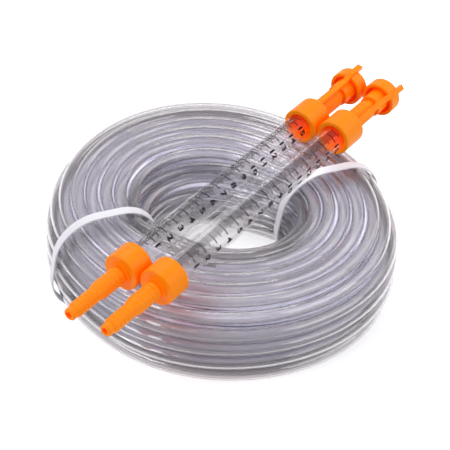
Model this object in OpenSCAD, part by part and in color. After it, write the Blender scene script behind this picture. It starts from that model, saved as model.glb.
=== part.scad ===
// Water level: a strapped coil of clear hose with two graduated vials lying across it.
// X runs along the vials towards their caps, Y across them and Z up, in millimetres.

/* [Hose] */
// Outside diameter of the hose
hose_od = 8; // [6:0.5:9]
// Wall of the hose
hose_wall = 1; // [0.6:0.1:1.6]
// Straight open length at each end of the hose
hose_end_len = 20; // [15:1:30]
// Least room between neighbouring turns
turn_gap = 0.5; // [0.45:0.05:1.5]

/* [Coil] */
// Radius of the bundle's middle line
coil_r = 74.5; // [68:0.5:85]
// How much the coil is stretched across the vials
coil_oval = 5.5; // [0:0.5:9]
// Mean width of the bundle
bundle_w = 68; // [58:1:72]
// Height of the bundle
bundle_h = 60; // [52:1:66]
// Corner radius of the bundle's outline
bundle_corner = 24; // [18:1:25]
// Narrowing of the bundle at the straps
bundle_pinch = 6; // [0:0.5:7]
// How far the top of the bundle leans towards the caps
bundle_lean = 12; // [0:1:15]
// Distance of the coil's centre behind the middle of the vials
coil_back = 0.5; // [0:0.25:10]
// Height of the hose ends on the coil, as a share of the way round the bundle
end_place = 0.93; // [0.9:0.01:0.97]
// Angle at which the hose ends stand away from the coil
end_flare = 8; // [6:1:20]

/* [Straps] */
// Width of a strap
strap_w = 6; // [4:0.5:9]
// Thickness of a strap
strap_t = 0.8; // [0.5:0.1:1.2]
// Direction of the right strap, measured from the caps
strap_turn = -34; // [-45:1:-25]

/* [Vials] */
// Outside diameter of the clear tube
tube_od = 17.5; // [15:0.5:19]
// Wall of the clear tube
tube_wall = 1.25; // [0.8:0.05:2]
// Length of the clear tube
tube_len = 185; // [160:1:210]
// Room between the two vials' cups
vial_gap = 0.7; // [0.5:0.1:6]
// Distance of the pair of vials from the coil's centre, to the right
vial_offset = 20; // [12:1:26]
// How far the left vial lies behind the right one
vial_stagger = 2; // [0:0.5:4]

/* [Fittings] */
// Wall of the cup round the tube
cup_wall = 2.5; // [1.2:0.05:3]
// Depth of the socket that takes the tube beside the barb
barb_socket = 11.5; // [8:0.5:16]
// Depth of the socket that takes the tube beside the neck
neck_socket = 14.5; // [10:0.5:18]
// Thickness of the cup's floor
cup_floor = 3.5; // [2:0.5:6]
// Rounding of the cup's and the cap's edges
edge_r = 0.9; // [0.4:0.1:1]
// Water way through the barb and the neck
way_d = 4; // [3:0.25:5]

/* [Barb] */
// Length of the hose barb
barb_len = 42.5; // [36:0.5:50]
// Diameter of the barb's wide step, between its ribs
barb_wide_d = 10.4; // [9.5:0.1:12]
// Diameter of the barb's narrow step, between its ribs
barb_narrow_d = 8.5; // [7.8:0.1:9.2]
// Length of the narrow step
barb_narrow_len = 15; // [11:0.5:18]
// Length of the taper between the two steps
barb_taper = 4; // [2:0.5:6]
// Ribs on each step
barb_ribs = 5; // [3:1:6]
// Diameter of the barb's tip
barb_tip_d = 7.3; // [6.4:0.1:7.6]
// Straight tip that the hose starts on
barb_land = 3.5; // [2:0.5:5]
// Length of the short taper behind the tip
barb_lead = 1; // [0.5:0.25:2]
// Diameter of the low collar round the barb's root
collar_d = 14; // [12.8:0.2:16]
// Height of that collar
collar_h = 1.2; // [0.6:0.1:2]
// Height of one rib on the barb and on the neck
rib_h = 0.35; // [0.2:0.05:0.5]

/* [Neck] */
// Length of the ribbed part of the neck
neck_len = 22; // [16:0.5:28]
// Diameter of the neck where it leaves the cup
neck_root_d = 11.7; // [10.4:0.1:12.2]
// Diameter of the neck beside the cap
neck_end_d = 11.6; // [10.4:0.1:12.2]
// Ribs along the neck
neck_ribs = 12; // [6:1:14]
// Diameter of the smooth spigot that the cap is pushed on
spigot_d = 9.4; // [8:0.1:9.8]
// Bare length of that spigot between the neck's ribs and the cap
spigot_bare = 3.5; // [1:0.5:6]

/* [Cap] */
// Length of the cap over all
cap_len = 18; // [15:0.5:24]
// Diameter of the cap's skirt
cap_od = 22.5; // [20:0.5:24]
// Wall of the skirt
skirt_wall = 2; // [1.2:0.1:2.6]
// How far the sleeve stands out of the skirt
sleeve_out = 9; // [5:0.5:10]
// Wall of the sleeve
sleeve_wall = 1.95; // [1.4:0.05:2.2]
// Thickness of the cap's closed end
cap_end = 3; // [2:0.25:5]
// Width of the pull bar
bar_w = 3.4; // [2.4:0.2:5]
// Thickness of the pull bar
bar_t = 2.6; // [1.8:0.2:3.4]
// How far the bar stands out past the cap
bar_out = 5; // [2:0.5:8]
// How far the bar is sunk into the skirt
bar_sink = 1.25; // [0.8:0.05:1.8]
// Turn of the left cap's bar away from straight up
left_bar_turn = 11; // [-60:1:90]
// Turn of the right cap's bar away from straight up
right_bar_turn = 55; // [-60:1:90]

/* [Clearances] */
// Room between pieces that lie on each other
rest_gap = 0.3; // [0.25:0.05:0.6]
// Room round the tube in its socket
socket_gap = 0.1; // [0.05:0.05:0.3]
// Room between the sleeve and the spigot
cap_gap = 0.25; // [0.15:0.05:0.4]
// Room between the bar and the neck and cup that it passes
bar_gap = 0.45; // [0.35:0.05:1]

/* [Hidden] */
$fn = 64;

hose_color = [0.78, 0.79, 0.85];
core_color = [0.66, 0.67, 0.74];
strap_color = [0.93, 0.93, 0.94];
tube_color = [0.85, 0.88, 0.9];
orange = [1, 0.45, 0.03];

// Turns are drawn with a ring of six corners every 15 degrees
ring_step = 15;
ring_sides = 6;
rings_per_loop = 360 / ring_step;
hose_r = hose_od / 2;
ring_reach = hose_r * cos(180 / ring_sides);
// The turns that the coil stands on are cut flat by a tenth of the hose
hose_flat = hose_od / 10;

// Middle line of the outer layer, as an outline in a plane through the coil's axis
path_low = ring_reach - hose_flat;
path_h = (bundle_h - ring_reach - path_low) / 2;
path_corner = bundle_corner - hose_r;
cup_od = tube_od + 2 * socket_gap + 2 * cup_wall;
// The coil is higher under the tubes than under the upper cups, so that the vials lie level
top_slope = (cup_od - tube_od) / 2 / (4 * path_h);

// The bundle runs straight through each strap, so it keeps one section between the rings beside it
function past_strap(t) = t - strap_turn - 180 * round((t - strap_turn) / 180);
function near_strap(t) = abs(past_strap(t)) < ring_step;
function section_turn(t) = near_strap(t) ? t - past_strap(t) : t;

function mean_r(t) = coil_r - coil_oval * cos(2 * t);
function path_w(t) = (bundle_w - bundle_pinch * cos(2 * (t - strap_turn)) - hose_od) / 2;
function quarter(t) = path_w(t) - path_corner + path_h - path_corner + PI * path_corner / 2;

// One quarter of the outline, from the middle of its outer side to the middle of its top
function quarter_point(w, h, c, run, arc) =
    run < h ? [w + c, run]
    : run < h + arc ? [w + c * cos(90 * (run - h) / arc), h + c * sin(90 * (run - h) / arc)]
    : [w - (run - h - arc), h + c];

// Point of the upright outline at a share of the way round, moved outwards by a distance
function outline_point(t, share, out) =
    let (turns = share - floor(share),
         part = floor(4 * turns),
         run = (4 * turns - part) * quarter(t),
         odd = part % 2,
         p = quarter_point(path_w(t) - path_corner, path_h - path_corner, path_corner + out,
                           odd == 1 ? quarter(t) - run : run, PI * path_corner / 2))
    [(part == 1 || part == 2 ? -1 : 1) * p[0], (part > 1 ? -1 : 1) * p[1]];

// The same point as a radius and a height on the leaning, sloping coil, moved square to that outline
function bundle_point(turn, share, out) =
    let (t = section_turn(turn),
         lean = bundle_lean * cos(t) / (2 * path_h),
         rise = 1 - top_slope * cos(t),
         p = outline_point(t, share, 0),
         n = outline_point(t, share, 1) - p,
         square = [n[0], (n[1] - lean * n[0]) / rise])
    [mean_r(t) + p[0] + lean * p[1], path_low + (p[1] + path_h) * rise] + out * square / norm(square);

// The middle line's outline at a turn, as steps of equal share with the length run up to each
outline_steps = 96;
function outline_run(turn) =
    let (points = [for (k = [0 : outline_steps]) bundle_point(turn, k / outline_steps, 0)])
    [for (k = 0, run = 0; k <= outline_steps;
          run = run + (k < outline_steps ? norm(points[k + 1] - points[k]) : 0), k = k + 1)
        [run, points[k]]];

// Point at a share of that true length, so that the turns lie evenly on the leaning coil
function even_point(turn, share) =
    let (steps = outline_run(turn), run = (share - floor(share)) * steps[outline_steps][0])
    [lookup(run, [for (s = steps) [s[0], s[1][0]]]), lookup(run, [for (s = steps) [s[0], s[1][1]]])];

function on_plane(t, rz) = [rz[0] * cos(t), rz[0] * sin(t), rz[1]];
function along(t) = [-sin(t), cos(t), 0];

// The straps run in a shallow channel under the coil
strap_low = 0.1;
channel_h = strap_low + strap_t + rest_gap;
function floor_h(t) = near_strap(t) ? channel_h : 0;

// Loops that fit side by side round the outline at the straps, where it is narrowest
coil_loops = floor(outline_run(strap_turn)[outline_steps][0] / (hose_od + turn_gap));
// The two ends of the hose point at each other across a bare stretch behind the coil
start_turn = strap_turn + 7.5 * ring_step;
bare_rings = 4;
last_ring = rings_per_loop * coil_loops - bare_rings;

// Middle points of the rings of the wound hose
function ring_turn(i) = start_turn + i * ring_step;
function ring_share(i) = end_place + i / (rings_per_loop * coil_loops);
ring_middles = [for (i = [0 : last_ring]) even_point(ring_turn(i), ring_share(i))];
function ring_corner(k) = hose_r * [cos(360 * k / ring_sides), sin(360 * k / ring_sides)];
function lifted(p, low) = [p[0], max(p[1], low)];
function ring(i) =
    [for (k = [0 : ring_sides - 1])
        on_plane(ring_turn(i), lifted(ring_middles[i] + ring_corner(k), floor_h(ring_turn(i))))];

// Square end one hose diameter past a ring, forwards or backwards
function end_turn(i, way) = ring_turn(i) - way * end_flare;
function end_middle(i, way) =
    on_plane(ring_turn(i), ring_middles[i]) + way * hose_od * along(end_turn(i, way));
function end_ring(i, way) =
    [for (k = [0 : ring_sides - 1]) end_middle(i, way) + on_plane(end_turn(i, way), ring_corner(k))];

hose_rings = concat([end_ring(0, -1)], [for (i = [0 : last_ring]) ring(i)], [end_ring(last_ring, 1)]);

// Least room between turns, measured on the ring middles
middles = [for (i = [0 : last_ring]) on_plane(ring_turn(i), ring_middles[i])];
least_gap = min([for (i = [0 : last_ring]) for (j = [i + rings_per_loop / 2 : 1 : last_ring])
    norm(middles[i] - middles[j])]) - hose_od;
echo(least_gap_of_hose_to_itself = least_gap, loops = coil_loops);

// Triangles between rings of equal size, without the end faces
function wall_faces(rings, sides, closed) =
    [for (i = [0 : closed ? rings - 1 : rings - 2]) for (k = [0 : sides - 1])
        let (a = i * sides, b = ((i + 1) % rings) * sides, n = (k + 1) % sides)
        each [[a + k, a + n, b + n], [a + k, b + n, b + k]]];
function end_faces(rings, sides) =
    let (last = (rings - 1) * sides)
    [for (k = [1 : sides - 2]) each [[0, k + 1, k], [last, last + k, last + k + 1]]];
function joined(lists) = [for (list = lists) each list];

module hose_coil() {
    count = len(hose_rings);
    color(hose_color)
        translate([-coil_back, 0, 0])
            polyhedron(joined(hose_rings), concat(wall_faces(count, ring_sides, false),
                                                  end_faces(count, ring_sides)));
}

// Plain core that stands for the turns inside the outer layer
core_sides = 24;
module hose_inner_turns() {
    inset = -(hose_r + 2 * rest_gap);
    rings = [for (i = [0 : rings_per_loop - 1]) for (k = [0 : core_sides - 1])
        on_plane(ring_turn(i), bundle_point(ring_turn(i), k / core_sides, inset))];
    color(core_color)
        translate([-coil_back, 0, 0])
            polyhedron(rings, wall_faces(rings_per_loop, core_sides, true));
}

// Straight open end of the hose, carrying on from the coil's square end
module hose_end(i, way) {
    color(hose_color)
        translate(end_middle(i, way) - [coil_back, 0, 0])
            rotate([-90 * way, 0, end_turn(i, way)])
                difference() {
                    cylinder(d = hose_od, h = hose_end_len);
                    translate([0, 0, -1])
                        cylinder(d = hose_od - 2 * hose_wall, h = hose_end_len + 2);
                }
}

module hose_first_end() {
    hose_end(0, -1);
}

module hose_last_end() {
    hose_end(last_ring, 1);
}

// Band round the bundle, halfway between two rings, where the turns run straight across it
strap_points = 96;
function strap_outline(turn, out, low) =
    [for (k = [0 : strap_points - 1])
        let (p = bundle_point(turn, k / strap_points, out))
        [p[0] * cos(ring_step / 2), max(p[1], low)]];

module strap(turn) {
    bed = hose_r + rest_gap;
    color(strap_color)
        translate([-coil_back, 0, 0])
            rotate([90, 0, turn])
                linear_extrude(strap_w, center = true)
                    difference() {
                        polygon(strap_outline(turn, bed + strap_t, strap_low));
                        polygon(strap_outline(turn, bed, strap_low + strap_t));
                    }
}

module right_strap() {
    strap(strap_turn);
}

module left_strap() {
    strap(strap_turn + 180);
}

// Places along a vial, measured from the middle of its tube
tube_half = tube_len / 2;
face_at = tube_half + cup_floor;
barb_end_at = face_at + barb_len;
cap_at = face_at + neck_len + spigot_bare;
bar_end_at = cap_at + cap_len + bar_out;
vial_middle = (barb_end_at - bar_end_at) / 2;
vial_z = bundle_h + 2 * path_h * top_slope + rest_gap + tube_od / 2;
vial_pitch = cup_od + vial_gap;

module place_vial(side) {
    translate([vial_middle - side * vial_stagger / 2, -vial_offset + side * vial_pitch / 2, vial_z])
        rotate([0, 90, 0])
            children();
}

module tube() {
    color(tube_color)
        difference() {
            cylinder(d = tube_od, h = tube_len, center = true);
            cylinder(d = tube_od - 2 * tube_wall, h = tube_len + 2, center = true);
        }
}

// Rounded outer corner of a revolved outline, as a quarter circle from an angle on
arc_steps = 5;
function rounded(r, z, from) =
    [for (k = [0 : arc_steps])
        let (a = from + 90 * k / arc_steps)
        [r - edge_r + edge_r * cos(a), z + edge_r * sin(a)]];

// Half outline of a ribbed taper between two lengths, with a crest in the middle of each rib
rib_steps = [[0, 0], [0.3, 0.85], [0.5, 1], [0.7, 0.85]];
function ribbed(from, to, r_from, r_to, ribs) =
    concat([for (i = [0 : ribs - 1]) for (step = rib_steps)
               let (share = (i + step[0]) / ribs)
               [r_from + (r_to - r_from) * share + rib_h * step[1], from + (to - from) * share]],
           [[r_to, to]]);

way_r = way_d / 2;
sleeve_bore = spigot_d + 2 * cap_gap;
sleeve_od = sleeve_bore + 2 * sleeve_wall;
nose = 0.6;

// Hose barb in two steps, measured from the cup's face outwards
land_at = barb_len - barb_land;
narrow_at = land_at - barb_lead - barb_narrow_len;
function barb_tail() =
    concat([[collar_d / 2, 0], [collar_d / 2, collar_h]],
           ribbed(collar_h, narrow_at - barb_taper, barb_wide_d / 2, barb_wide_d / 2, barb_ribs),
           ribbed(narrow_at, land_at - barb_lead, barb_narrow_d / 2, barb_narrow_d / 2, barb_ribs),
           [[barb_tip_d / 2, land_at], [barb_tip_d / 2, barb_len - nose],
            [barb_tip_d / 2 - nose, barb_len], [way_r, barb_len]]);

// Ribbed neck and smooth spigot, measured from the cup's face outwards
spigot_len = spigot_bare + cap_len - cap_end - rest_gap;
function neck_tail() =
    concat(ribbed(0, neck_len, neck_root_d / 2, neck_end_d / 2, neck_ribs),
           [[spigot_d / 2, neck_len], [spigot_d / 2, neck_len + spigot_len - nose],
            [spigot_d / 2 - nose, neck_len + spigot_len], [way_r, neck_len + spigot_len]]);

// Cup for the tube with a tail on its closed face; the socket's floor is at zero
module fitting(tail, depth) {
    socket_r = tube_od / 2 + socket_gap;
    color(orange)
        rotate_extrude()
            polygon(concat([for (i = [len(tail) - 1 : -1 : 0]) [tail[i][0], -cup_floor - tail[i][1]]],
                           rounded(cup_od / 2, edge_r - cup_floor, 270),
                           rounded(cup_od / 2, depth - edge_r, 0),
                           [[socket_r, depth], [socket_r, 0], [way_r, 0]]));
}

module hose_fitting() {
    translate([0, 0, -tube_half])
        fitting(barb_tail(), barb_socket);
}

module neck_fitting() {
    translate([0, 0, tube_half])
        mirror([0, 0, 1])
            fitting(neck_tail(), neck_socket);
}

// Cap with the open end of its sleeve at zero and a skirt round the sleeve
module cap_body() {
    skirt_r = cap_od / 2 - skirt_wall;
    inside = cap_len - cap_end;
    rotate_extrude()
        polygon(concat([[0, inside], [sleeve_bore / 2, inside], [sleeve_bore / 2, 0], [sleeve_od / 2, 0],
                        [sleeve_od / 2, inside], [skirt_r, inside], [skirt_r, sleeve_out]],
                       rounded(cap_od / 2, sleeve_out + edge_r, 270),
                       rounded(cap_od / 2, cap_len - edge_r, 0),
                       [[0, cap_len]]));
}

// Pull bar beside the neck, sunk into the sleeve and stepping up over the skirt's rim
bar_step = 5.5;
bar_root = 0.6;
module bar() {
    low = max(neck_root_d / 2 + rib_h + bar_gap, sleeve_od / 2);
    root = sleeve_od / 2 - bar_root;
    high = cap_od / 2 - bar_sink;
    start = 2 * bar_gap - neck_len - spigot_bare;
    finish = cap_len + bar_out;
    step_from = sleeve_out - bar_step / 2;
    step_to = sleeve_out + bar_step / 2;
    rotate([90, 0, 0])
        linear_extrude(bar_w, center = true)
            polygon([[low, start], [low, 0], [root, 0], [root, step_from], [high, step_to],
                     [high, finish - nose], [high + nose, finish], [high + bar_t - nose, finish],
                     [high + bar_t, finish - nose], [high + bar_t, step_to - nose],
                     [low + bar_t, step_from - nose], [low + bar_t, start + nose],
                     [low + bar_t - nose, start]]);
}

module cap(bar_turn) {
    color(orange)
        translate([0, 0, cap_at])
            rotate([0, 0, 180 + bar_turn]) {
                cap_body();
                bar();
            }
}

module left_tube() {
    place_vial(1) tube();
}

module left_hose_fitting() {
    place_vial(1) hose_fitting();
}

module left_neck_fitting() {
    place_vial(1) neck_fitting();
}

module left_cap() {
    place_vial(1) cap(left_bar_turn);
}

module right_tube() {
    place_vial(-1) tube();
}

module right_hose_fitting() {
    place_vial(-1) hose_fitting();
}

module right_neck_fitting() {
    place_vial(-1) neck_fitting();
}

module right_cap() {
    place_vial(-1) cap(right_bar_turn);
}

hose_coil();
hose_inner_turns();
hose_first_end();
hose_last_end();
left_strap();
right_strap();
left_tube();
left_hose_fitting();
left_neck_fitting();
left_cap();
right_tube();
right_hose_fitting();
right_neck_fitting();
right_cap();
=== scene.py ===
import math

import bmesh
import bpy
import numpy as np
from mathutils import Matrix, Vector


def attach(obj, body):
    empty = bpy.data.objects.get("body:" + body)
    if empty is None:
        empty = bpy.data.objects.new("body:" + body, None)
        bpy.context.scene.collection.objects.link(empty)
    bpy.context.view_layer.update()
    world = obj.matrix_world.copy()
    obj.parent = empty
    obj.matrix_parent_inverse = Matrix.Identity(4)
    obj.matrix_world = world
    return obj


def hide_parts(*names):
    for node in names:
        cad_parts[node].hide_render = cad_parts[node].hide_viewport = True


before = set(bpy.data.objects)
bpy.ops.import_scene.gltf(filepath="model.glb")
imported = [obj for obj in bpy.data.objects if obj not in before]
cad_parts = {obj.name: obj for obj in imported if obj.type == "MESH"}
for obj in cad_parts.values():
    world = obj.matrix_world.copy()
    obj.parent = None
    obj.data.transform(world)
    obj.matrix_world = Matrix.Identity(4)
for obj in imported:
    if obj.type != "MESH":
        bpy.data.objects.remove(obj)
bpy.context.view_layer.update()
scene = bpy.context.scene
scene.view_settings.view_transform = "Standard"

MM = 0.001

# The camera as fitted to the photograph, with its place and line of sight in metres
SENSOR_MM = 36
FOCAL_PX = 1438.6
PHOTO_PX = 450
EYE = (-0.54507, -0.41116, 0.58838)
SIGHT = (0.62350, 0.46390, -0.62932)
CLIP_END = 20

# Sizes of the coil and the vials, as in the part's source, in millimetres
HOSE_R = 4.0
HOSE_BORE_R = 3.0
COIL_X = -0.5
COIL_R = 74.5
COIL_OVAL = 5.5
BUNDLE_W = 68.0
BUNDLE_H = 60.0
BUNDLE_CORNER = 24.0
BUNDLE_PINCH = 6.0
BUNDLE_LEAN = 12.0
STRAP_TURN = math.radians(-34)
TUBE_R = 8.75
CUP_R = 11.35
VIALS = {"left": (-4.0, -8.3), "right": (-2.0, -31.7)}
VIAL_Z = 70.35
FACE = 96.0
BARB_CUP = 15.0
NECK_CUP = 18.0
PATH_H = (BUNDLE_H - 2 * HOSE_R) / 2
TOP_SLOPE = (CUP_R - TUBE_R) / (4 * PATH_H)

# The wound hose: four nested layers, each with its depth and its turns. It winds inwards over one
# half of each layer's outline and back outwards over the other, so both ends leave the outer layer.
LAYERS = [(0.0, 21), (7.8, 17), (15.4, 12), (22.6, 6.5)]
START_TURN = STRAP_TURN + math.radians(112.5)
END_TURN = STRAP_TURN + math.radians(52.5)
END_PLACE = 0.93
# Share of an outline that is left free where the hose passes to the next layer
LAYER_EDGE = 0.012
# Steps of the path in one turn, and sides of the tube
STEPS = 96
SIDES = 20
# Points on one outline, and the least corner and flat that it keeps deep in the bundle
OUTLINE_POINTS = 240
LEAST_CORNER = 1.0
LEAST_FLAT = 0.5
# Turns that lie deeper than this are seen only through others
DEEP_INSET = 5.0
DEEP_SHARE = 0.97
# How far the turns sink into the bundle: the most for outer and deep ones, and their mean share
OUTER_SINK = 0.4
DEEP_SINK = 0.9
MEAN_SINK = 0.6
# Random wander of the turns: steps between draws, and the share of an outline that they stray
WANDER_SEED = 7
WANDER_STEPS = 40
WANDER_PLACE = 0.003
# Steps over which each row of values along the hose is smoothed
DEPTH_SMOOTH = 59
DEEP_SMOOTH = 97
WANDER_SMOOTH = 61
PLACE_SMOOTH = 31
POINT_SMOOTH = 11
# Room between a turn and the vial that lies on it, and between a turn and the floor
VIAL_ROOM = 0.4
FLOOR_ROOM = 0.05
# Lift of the lowest turns over a strap, and the angle over which it fades
STRAP_LIFT = 1.2
STRAP_LIFT_TURN = 0.12
# The straight free ends: length, step, and how much they point outwards
END_LENGTH = 28.0
END_STEP = 4.0
END_FLARE = 0.14

# Between the straps the hose springs a few millimetres out of the shape that they hold it in
LOOSE_R = 73.0
LOOSE_OVAL = 5.2
LOOSE_OVAL_TURN = math.radians(-20)
LOOSE_BULGE = 2.1
LOOSE_BULGE_TURN = math.radians(49)
LOOSE_SHIFT = (-0.2, -3.0)
LOOSE_W = 70.3
LOOSE_FLARE = 5.4
LOOSE_LEAN = (7.8, 8.1)
# Power of the cosine by which the hold of a strap fades
HOLD_POWER = 4
# Share of this springing that the small inner turns take part in
INNER_GIVE = 0.4
# The low inner turns have slipped into the coil's hole on the side away from the barbs
SLIP = 7.0
SLIP_TURN = math.radians(55)
SLIP_POWER = 8

# Share of the light that goes through one face of clear and of orange plastic
CLEAR_GLOW = (0.97, 0.965, 0.97, 1)
ORANGE_GLOW = (0.86, 0.32, 0.04, 1)
# Change of roughness, up and down, over a mottled plastic
GLOSS_CHANGE = 0.06
NOISE_DETAIL = 2
MOTTLE_DETAIL = 4

# The printed scales: place of the mark 1 on X, and the angle round the tube in degrees, from +Y
# towards +Z, at which the long marks end. The numerals begin a gap beyond it.
SCALES = {"left": (-74.3, 120.0), "right": (-72.35, 147.0)}
PRINT_R = TUBE_R + 0.06
# Length and width of the marks at every tenth, fifth and other millimetre
MARKS = {10: (7.8, 0.75), 5: (6.4, 0.55), 1: (4.8, 0.4)}
LONG_MARK = MARKS[10][0]
MARK_POINTS = 9
LAST_MM = 155
LAST_CM = 15
DIGIT_H = 4.4
DIGIT_GAP = 1.7
DIGIT_WIDE = 1.2
# Numerals as the font gives them: boldness, steps of a curve, and the edges that are cut finer
FONT_BOLD = 0.04
FONT_STEPS = 3
FONT_EDGE = 0.15
FONT_CUTS = 2

# Floor, sky and lamps, in metres and watts
FLOOR_HALF = 6.0
FLOOR_COLOR = (0.8, 0.8, 0.8, 1)
FLOOR_GLOW = 0.5
SKY_COLOR = (0.47, 0.46, 0.52, 1)
LAMP_AIM = Vector((0, 0, 0.03))
LAMPS = [("key", (-0.9, 0.5, 1.1), (0.7, 0.7), 8),
         ("side", (1.0, -0.55, 0.7), (0.9, 0.9), 3),
         ("front", (0.1, -1.0, 0.6), (1.0, 0.6), 4),
         ("top", (0.5, 0.6, 1.3), (0.8, 0.5), 6)]
# Light has to pass many clear walls
GLASS_BOUNCES = 48
CLEAR_BOUNCES = 32


def add_object(name, data):
    ob = bpy.data.objects.new(name, data)
    scene.collection.objects.link(ob)
    return ob


def add_mesh(name, verts, faces):
    mesh = bpy.data.meshes.new(name)
    mesh.from_pydata(verts, [], faces)
    mesh.update()
    return add_object(name, mesh)


def facing(way):
    return way.to_track_quat("-Z", "Y").to_euler()


def camera():
    data = bpy.data.cameras.new("camera")
    data.sensor_width = SENSOR_MM
    data.lens = SENSOR_MM * FOCAL_PX / PHOTO_PX
    data.clip_end = CLIP_END
    cam = add_object("camera", data)
    cam.location = EYE
    cam.rotation_euler = facing(Vector(SIGHT))
    scene.camera = cam


def past_strap(t):
    """Angle from the nearer strap."""
    return (t - STRAP_TURN + math.pi / 2) % math.pi - math.pi / 2


def section(t):
    """Middle radius, width and outward lean of the strapped bundle, and what springing adds."""
    free = 1 - math.cos(past_strap(t)) ** HOLD_POWER
    strapped = np.array([COIL_R - COIL_OVAL * math.cos(2 * t),
                         BUNDLE_W - BUNDLE_PINCH * math.cos(2 * past_strap(t)),
                         BUNDLE_LEAN * math.cos(t)])
    loose_r = (LOOSE_R - LOOSE_OVAL * math.cos(2 * (t - LOOSE_OVAL_TURN))
               + LOOSE_BULGE * math.cos(3 * (t - LOOSE_BULGE_TURN))
               + LOOSE_SHIFT[0] * math.cos(t) + LOOSE_SHIFT[1] * math.sin(t))
    loose_lean = LOOSE_FLARE + LOOSE_LEAN[0] * math.cos(t) + LOOSE_LEAN[1] * math.sin(t)
    loose = np.array([loose_r, LOOSE_W, loose_lean])
    return strapped, free * (loose - strapped)


def outline(t, inset):
    """Sheared section of one layer at an azimuth: radii, heights and shares of the way round."""
    (middle, width, lean), (spring, spread, tip) = section(t)
    corner = max(BUNDLE_CORNER - HOSE_R - inset, LEAST_CORNER)
    w = max((width + spread) / 2 - HOSE_R - inset - corner, LEAST_FLAT)
    h = max(PATH_H - inset - corner, LEAST_FLAT)
    arc = math.pi * corner / 2
    quarter = w + h + arc
    d = np.linspace(0, 4 * quarter, OUTLINE_POINTS, endpoint=False)
    part = np.floor(d / quarter).astype(int) % 4
    run = d - part * quarter
    run = np.where(part % 2 == 1, quarter - run, run)
    a = np.clip((run - h) / corner, 0, math.pi / 2)
    x = w + corner * np.cos(a) - np.clip(run - h - arc, 0, None)
    y = np.minimum(run, h) + corner * np.sin(a)
    x = np.where((part == 1) | (part == 2), -x, x)
    y = np.where(part > 1, -y, y)
    inner = (1 - x / (w + corner)) / 2
    low = (1 - y / (h + corner)) / 2
    give = 1 - (1 - INNER_GIVE) * inner
    slip = SLIP * inner * low * math.cos((t - SLIP_TURN) / 2) ** SLIP_POWER
    r = middle + x + give * spring + (lean + give * tip) * y / (2 * PATH_H) - slip
    z = HOSE_R + (y + PATH_H) * (1 - TOP_SLOPE * math.cos(t))
    step = np.hypot(np.diff(np.append(r, r[0])), np.diff(np.append(z, z[0])))
    share = np.concatenate([[0], np.cumsum(step)[:-1]]) / step.sum()
    return r, z, share


def on_outline(t, inset, share):
    r, z, s = outline(t, inset)
    s = np.append(s, 1.0)
    share = share % 1.0
    return np.interp(share, s, np.append(r, r[0])), np.interp(share, s, np.append(z, z[0]))


def under_vials(x, y, z):
    """Height of a turn, pressed down where a vial lies on it."""
    for mid, vial_y in VIALS.values():
        along, across = x - mid, y - vial_y
        in_cup = -FACE < along < BARB_CUP - FACE or FACE - NECK_CUP < along < FACE
        reach = (CUP_R if in_cup else TUBE_R) + HOSE_R + VIAL_ROOM
        if abs(along) < FACE and abs(across) < reach:
            z = min(z, VIAL_Z - math.sqrt(reach ** 2 - across ** 2))
    return z


def smooth(values, width):
    kernel = np.hanning(width + 2)[1:-1]
    kernel /= kernel.sum()
    padded = np.concatenate([np.full(width, values[0]), values, np.full(width, values[-1])])
    return np.convolve(padded, kernel, "same")[width:-width]


def straight(end, before):
    """Points of a free end of the hose, which runs on level and a little outwards."""
    way = end - before
    way[2] = 0
    way /= np.linalg.norm(way)
    out = np.array([end[0] - COIL_X, end[1], 0])
    way = way + END_FLARE * out / np.linalg.norm(out)
    way /= np.linalg.norm(way)
    return [end + way * d for d in np.arange(END_STEP, END_LENGTH + END_STEP / 2, END_STEP)]


def hose_path():
    """Points down the middle of the hose, in metres, and which of them are deep in the bundle."""
    inset, share = [], []
    inwards = list(range(len(LAYERS)))
    for half, layers in ((0.5, inwards), (-0.5, inwards[::-1])):
        for k, layer in enumerate(layers):
            a, b = (half, 0) if k % 2 else (0, half)
            edge = math.copysign(LAYER_EDGE, b - a)
            start, end = a + edge, b - edge
            depth, turns = LAYERS[layer]
            n = int(abs(end - start) * turns * STEPS)
            inset.extend([depth] * n)
            share.extend(np.linspace(start, end, n, endpoint=False))
    inset, share = np.array(inset), np.array(share)
    n = len(inset)
    whole = round((n / STEPS * 2 * math.pi - (END_TURN - START_TURN)) / (2 * math.pi))
    turn = np.linspace(START_TURN, END_TURN + 2 * math.pi * whole, n)
    rng = np.random.default_rng(WANDER_SEED)
    knots = np.arange(0, n + 2 * WANDER_STEPS, WANDER_STEPS)

    def wander():
        w = np.interp(np.arange(n), knots, rng.uniform(-1, 1, len(knots)))
        return smooth(w, WANDER_SMOOTH)

    inset = smooth(inset, DEPTH_SMOOTH)
    deep = smooth((inset > DEEP_INSET).astype(float), DEEP_SMOOTH) > DEEP_SHARE
    inset = inset + np.where(inset > DEEP_INSET, DEEP_SINK, OUTER_SINK) * (MEAN_SINK + wander())
    share = smooth(share, PLACE_SMOOTH) + WANDER_PLACE * wander() + END_PLACE
    points = []
    for t, d, s in zip(turn, inset, share):
        r, z = on_outline(t, d, s)
        lift = STRAP_LIFT * math.exp(-(past_strap(t) / STRAP_LIFT_TURN) ** 2)
        z = max(z, HOSE_R + FLOOR_ROOM + lift)
        x, y = COIL_X + r * math.cos(t), r * math.sin(t)
        points.append((x, y, under_vials(x, y, z)))
    points = np.array(points)
    for k in range(3):
        points[:, k] = smooth(points[:, k], POINT_SMOOTH)
    first = straight(points[0], points[1])[::-1]
    last = straight(points[-1], points[-2])
    deep = np.concatenate([np.zeros(len(first)), deep, np.zeros(len(last))]).astype(bool)
    return np.concatenate([first, points, last]) * MM, deep


def unit_rows(v):
    return v / np.linalg.norm(v, axis=1)[:, None]


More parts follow.
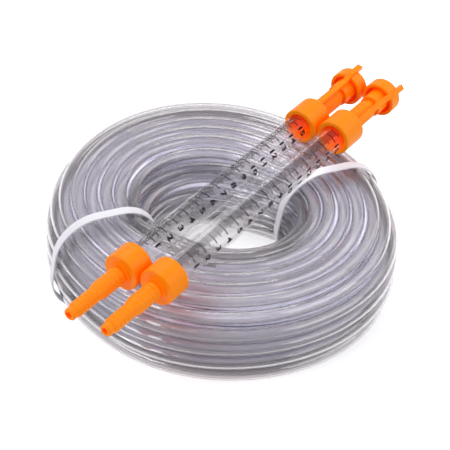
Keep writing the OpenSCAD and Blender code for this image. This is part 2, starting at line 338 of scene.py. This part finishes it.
def tube_mesh(name, path, outer, bore):
    """A tube along a path, with an outer wall, a bore wall and flat ring ends."""
    along = unit_rows(np.gradient(path, axis=0))
    side = unit_rows(np.cross((0, 0, 1.0), along))
    top = np.cross(along, side)
    a = np.linspace(0, 2 * math.pi, SIDES, endpoint=False)
    ring = np.cos(a)[None, :, None] * side[:, None] + np.sin(a)[None, :, None] * top[:, None]
    walls = [path[:, None] + r * MM * ring for r in (outer, bore)]
    verts = np.concatenate([w.reshape(-1, 3) for w in walls])
    n = len(path)
    i, k = np.meshgrid(np.arange(n - 1) * SIDES, np.arange(SIDES), indexing="ij")
    nk = (k + 1) % SIDES
    quad = np.stack([i + k, i + nk, i + SIDES + nk, i + SIDES + k], -1).reshape(-1, 4)
    base = n * SIDES
    end = base - SIDES
    k, nk = k[0], nk[0]
    near = np.stack([k, base + k, base + nk, nk], -1)
    far = np.stack([end + k, end + nk, base + end + nk, base + end + k], -1)
    faces = np.concatenate([quad, quad[:, ::-1] + base, near, far])
    ob = add_mesh(name, verts.tolist(), faces.tolist())
    ob.data.polygons.foreach_set("use_smooth", [True] * len(faces))
    return ob


def material(name, values):
    """A material with values on the sockets of its shader."""
    m = bpy.data.materials.new(name)
    m.use_nodes = True
    bsdf = m.node_tree.nodes["Principled BSDF"]
    for socket, value in values.items():
        bsdf.inputs[socket].default_value = value
    return m


def noise_in(m, scale, detail=NOISE_DETAIL):
    noise = m.node_tree.nodes.new("ShaderNodeTexNoise")
    noise.inputs["Scale"].default_value = scale
    noise.inputs["Detail"].default_value = detail
    return noise.outputs["Fac"]


def vary_color(m, noise, dark, light):
    nodes, links = m.node_tree.nodes, m.node_tree.links
    tint = nodes.new("ShaderNodeMix")
    tint.data_type = "RGBA"
    tint.inputs["A"].default_value = dark
    tint.inputs["B"].default_value = light
    links.new(noise, tint.inputs["Factor"])
    links.new(tint.outputs["Result"], nodes["Principled BSDF"].inputs["Base Color"])


def vary_gloss(m, noise, low, high):
    nodes, links = m.node_tree.nodes, m.node_tree.links
    gloss = nodes.new("ShaderNodeMapRange")
    gloss.inputs["To Min"].default_value = low
    gloss.inputs["To Max"].default_value = high
    links.new(noise, gloss.inputs["Value"])
    links.new(gloss.outputs["Result"], nodes["Principled BSDF"].inputs["Roughness"])


def lets_light_in(m, share):
    """Lets light from the lamps reach what is behind a plastic."""
    nodes, links = m.node_tree.nodes, m.node_tree.links
    clear = nodes.new("ShaderNodeBsdfTransparent")
    clear.inputs["Color"].default_value = share
    mix = nodes.new("ShaderNodeMixShader")
    path = nodes.new("ShaderNodeLightPath")
    links.new(path.outputs["Is Shadow Ray"], mix.inputs["Fac"])
    links.new(nodes["Principled BSDF"].outputs[0], mix.inputs[1])
    links.new(clear.outputs[0], mix.inputs[2])
    links.new(mix.outputs[0], nodes["Material Output"].inputs["Surface"])


def hose_material():
    """Clear soft plastic of the turns that are seen."""
    m = material("clear_hose", {"Base Color": (0.70, 0.685, 0.695, 1), "Transmission Weight": 1.0,
                                "IOR": 1.36, "Coat Weight": 0.8, "Coat Roughness": 0.05})
    vary_gloss(m, noise_in(m, 90), 0.03, 0.09)
    lets_light_in(m, CLEAR_GLOW)
    return m


def deep_material():
    """The same plastic deep in the bundle, where many walls have scattered the light."""
    m = material("deep_hose", {"Roughness": 0.35})
    vary_color(m, noise_in(m, 25), (0.58, 0.605, 0.79, 1), (0.93, 0.90, 0.95, 1))
    return m


def vial_material():
    """Hard clear plastic of the vials, seen through almost unbent."""
    m = material("clear_vial", {"Base Color": (0.80, 0.76, 0.77, 1), "Transmission Weight": 1.0,
                                "IOR": 1.15, "Coat Weight": 0.6, "Coat Roughness": 0.03,
                                "Alpha": 0.22})
    vary_gloss(m, noise_in(m, 120), 0.0, 0.03)
    lets_light_in(m, CLEAR_GLOW)
    return m


def mottled(name, color, change, size, roughness, values):
    """An opaque plastic whose colour and gloss wander a little over a size in millimetres."""
    m = material(name, values)
    noise = noise_in(m, 1 / (size * MM), MOTTLE_DETAIL)
    vary_color(m, noise, (*(c * (1 - change) for c in color), 1),
               (*(min(c * (1 + change), 1) for c in color), 1))
    vary_gloss(m, noise, roughness - GLOSS_CHANGE, roughness + GLOSS_CHANGE)
    return m


def strap_material():
    """Smooth white plastic of the straps."""
    return mottled("white_strap", (0.78, 0.78, 0.8), change=0.04, size=1.5, roughness=0.5,
                   values={})


def orange_material():
    """Moulded orange plastic that light sinks into a little."""
    m = mottled("orange_plastic", (1.0, 0.26, 0.001), change=0.05, size=3, roughness=0.4,
                values={"Specular IOR Level": 0.15, "Subsurface Weight": 0.25,
                        "Subsurface Radius": (1.0, 0.22, 0.03), "Subsurface Scale": 2 * MM})
    lets_light_in(m, ORANGE_GLOW)
    return m


def ink_material():
    """Dull black print."""
    return mottled("ink", (0.014, 0.013, 0.015), change=0.2, size=0.8, roughness=0.7,
                   values={"Specular IOR Level": 0.1})


def make_hose():
    path, deep = hose_path()
    hose = tube_mesh("hose", path, HOSE_R, HOSE_BORE_R)
    hose.data.materials.append(hose_material())
    hose.data.materials.append(deep_material())
    wall = np.repeat(deep[:-1], SIDES).astype(np.int32)
    ends = np.zeros(2 * SIDES, np.int32)
    hose.data.polygons.foreach_set("material_index", np.concatenate([wall, wall, ends]))
    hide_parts("hose_coil", "hose_inner_turns", "hose_first_end", "hose_last_end")
    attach(hose, "coil")


def dress(node, mat):
    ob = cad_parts[node]
    ob.data.materials.clear()
    ob.data.materials.append(mat)
    for p in ob.data.polygons:
        p.material_index = 0


def glyphs(text):
    """Flat triangles of a numeral, finely cut, with its middle at the origin and a height of 1."""
    curve = bpy.data.curves.new("numeral", "FONT")
    curve.body = text
    curve.align_x = "CENTER"
    curve.resolution_u = FONT_STEPS
    curve.offset = FONT_BOLD
    ob = add_object("numeral", curve)
    bpy.context.view_layer.update()
    flat = ob.evaluated_get(bpy.context.evaluated_depsgraph_get())
    bm = bmesh.new()
    bm.from_mesh(flat.to_mesh())
    flat.to_mesh_clear()
    bmesh.ops.triangulate(bm, faces=bm.faces[:])
    for _ in range(FONT_CUTS):
        edges = [e for e in bm.edges if e.calc_length() > FONT_EDGE]
        bmesh.ops.subdivide_edges(bm, edges=edges, cuts=1)
        bmesh.ops.triangulate(bm, faces=bm.faces[:])
    bm.verts.index_update()
    v = np.array([tuple(p.co)[:2] for p in bm.verts])
    f = np.array([[p.index for p in face.verts] for face in bm.faces])
    bm.free()
    bpy.data.objects.remove(ob)
    bpy.data.curves.remove(curve)
    low, high = v[:, 1].min(), v[:, 1].max()
    v[:, 1] = (v[:, 1] - (low + high) / 2) / (high - low)
    v[:, 0] /= high - low
    return v, f


def make_scale(side, mat):
    """Marks and numerals as a thin skin of ink wrapped on the tube."""
    first, end = SCALES[side]
    y = VIALS[side][1]
    verts, faces = [], []

    def wrap(along, arc, tri):
        base = len(verts)
        a = math.radians(end) + arc / TUBE_R
        verts.extend(zip(along, y + PRINT_R * np.cos(a), VIAL_Z + PRINT_R * np.sin(a)))
        faces.extend((np.asarray(tri) + base).tolist())

    n = MARK_POINTS
    strip = [(k, k + 1, n + k + 1, n + k) for k in range(n - 1)]
    for mm in range(1, LAST_MM + 1):
        length, wide = MARKS[next(k for k in MARKS if mm % k == 0)]
        at, w = first + (mm - 10), wide / 2
        arc = np.linspace(-LONG_MARK, -LONG_MARK + length, n)
        wrap(np.repeat([at - w, at + w], n), np.tile(arc, 2), strip)
    for cm in range(1, LAST_CM + 1):
        v, f = glyphs(str(cm))
        v = v * (DIGIT_H * DIGIT_WIDE, DIGIT_H)
        wrap(first + 10 * (cm - 1) + v[:, 1], DIGIT_GAP + v[:, 0] - v[:, 0].min(), f)
    ob = add_mesh(side + "_scale", [tuple(c * MM for c in p) for p in verts], faces)
    ob.data.materials.append(mat)
    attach(ob, side + "_vial")


def as_seen(tree, lights, seen):
    """A shader that lights the object as one node and is seen as another.

    Seen means by the camera, in gloss and through glass.
    """
    nodes, links = tree.nodes, tree.links
    mix = nodes.new("ShaderNodeMixShader")
    path = nodes.new("ShaderNodeLightPath")
    a = nodes.new("ShaderNodeMath")
    a.operation = "MAXIMUM"
    b = nodes.new("ShaderNodeMath")
    b.operation = "MAXIMUM"
    links.new(path.outputs["Is Camera Ray"], a.inputs[0])
    links.new(path.outputs["Is Glossy Ray"], a.inputs[1])
    links.new(a.outputs[0], b.inputs[0])
    links.new(path.outputs["Is Transmission Ray"], b.inputs[1])
    links.new(b.outputs[0], mix.inputs["Fac"])
    links.new(lights.outputs[0], mix.inputs[1])
    links.new(seen.outputs[0], mix.inputs[2])
    return mix.outputs[0]


def make_floor():
    s = FLOOR_HALF
    floor = add_mesh("floor", [(-s, -s, 0), (s, -s, 0), (s, s, 0), (-s, s, 0)], [(0, 1, 2, 3)])
    m = bpy.data.materials.new("floor")
    m.use_nodes = True
    nodes, links = m.node_tree.nodes, m.node_tree.links
    nodes.clear()
    out = nodes.new("ShaderNodeOutputMaterial")
    diffuse = nodes.new("ShaderNodeBsdfDiffuse")
    diffuse.inputs["Color"].default_value = FLOOR_COLOR
    glow = nodes.new("ShaderNodeEmission")
    glow.inputs["Strength"].default_value = FLOOR_GLOW
    add = nodes.new("ShaderNodeAddShader")
    links.new(diffuse.outputs[0], add.inputs[0])
    links.new(glow.outputs[0], add.inputs[1])
    links.new(as_seen(m.node_tree, diffuse, add), out.inputs["Surface"])
    floor.data.materials.append(m)


def make_world():
    world = bpy.data.worlds.new("world")
    scene.world = world
    world.use_nodes = True
    nodes, links = world.node_tree.nodes, world.node_tree.links
    nodes.clear()
    out = nodes.new("ShaderNodeOutputWorld")
    sky = nodes.new("ShaderNodeBackground")
    sky.inputs["Color"].default_value = SKY_COLOR
    pale = nodes.new("ShaderNodeBackground")
    links.new(as_seen(world.node_tree, sky, pale), out.inputs["Surface"])


def make_lamps():
    for name, place, size, power in LAMPS:
        data = bpy.data.lights.new(name, "AREA")
        data.shape = "RECTANGLE"
        data.size, data.size_y = size
        data.energy = power
        lamp = add_object(name, data)
        lamp.location = place
        lamp.rotation_euler = facing(LAMP_AIM - Vector(place))


camera()
make_hose()
white = strap_material()
orange = orange_material()
clear = vial_material()
ink = ink_material()
for side in VIALS:
    dress(side + "_strap", white)
    dress(side + "_tube", clear)
    for piece in ("hose_fitting", "neck_fitting", "cap"):
        dress(side + "_" + piece, orange)
    make_scale(side, ink)
make_floor()
make_world()
make_lamps()
scene.cycles.max_bounces = GLASS_BOUNCES
scene.cycles.transmission_bounces = GLASS_BOUNCES
scene.cycles.transparent_max_bounces = CLEAR_BOUNCES
